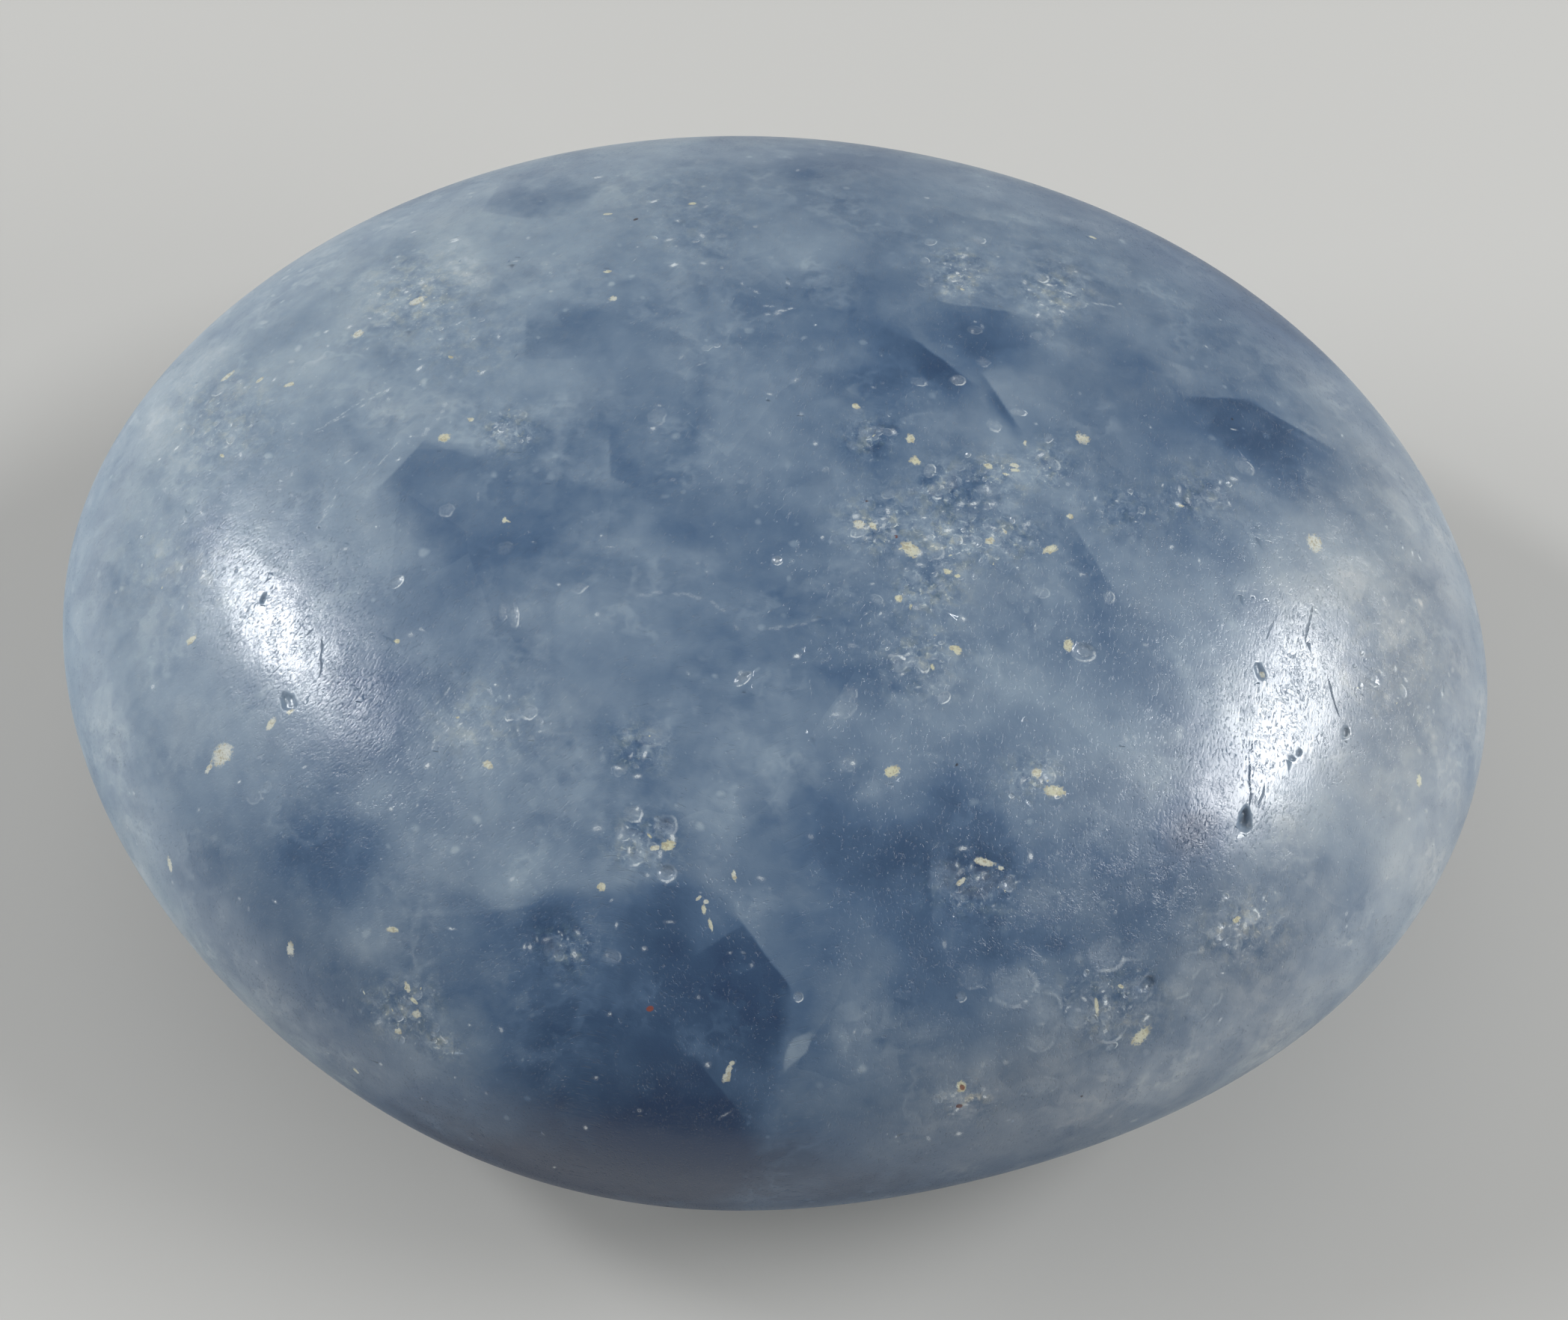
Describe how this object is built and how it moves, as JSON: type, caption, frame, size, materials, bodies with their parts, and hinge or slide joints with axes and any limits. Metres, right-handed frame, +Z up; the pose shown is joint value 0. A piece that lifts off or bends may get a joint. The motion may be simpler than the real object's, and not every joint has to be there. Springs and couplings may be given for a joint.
{
  "type": "blue calcite palm stone",
  "caption": "Flattened oval stone with two domed faces, hand-polished all over, with small open vugs and a worn flat on its underside to rest on.",
  "frame": {"origin": "middle of the stone seen from above, on the surface that it lies on", "axes": "+X along the stone's length, towards the end that is at the right in the picture; +Y across it, away from the viewer; +Z up"},
  "size_m": [0.07, 0.0582, 0.027],
  "materials": {
    "polished_blue_calcite": "polished"
  },
  "bodies": {
    "root": {"stone": "polished_blue_calcite"}
  },
  "joints": []
}
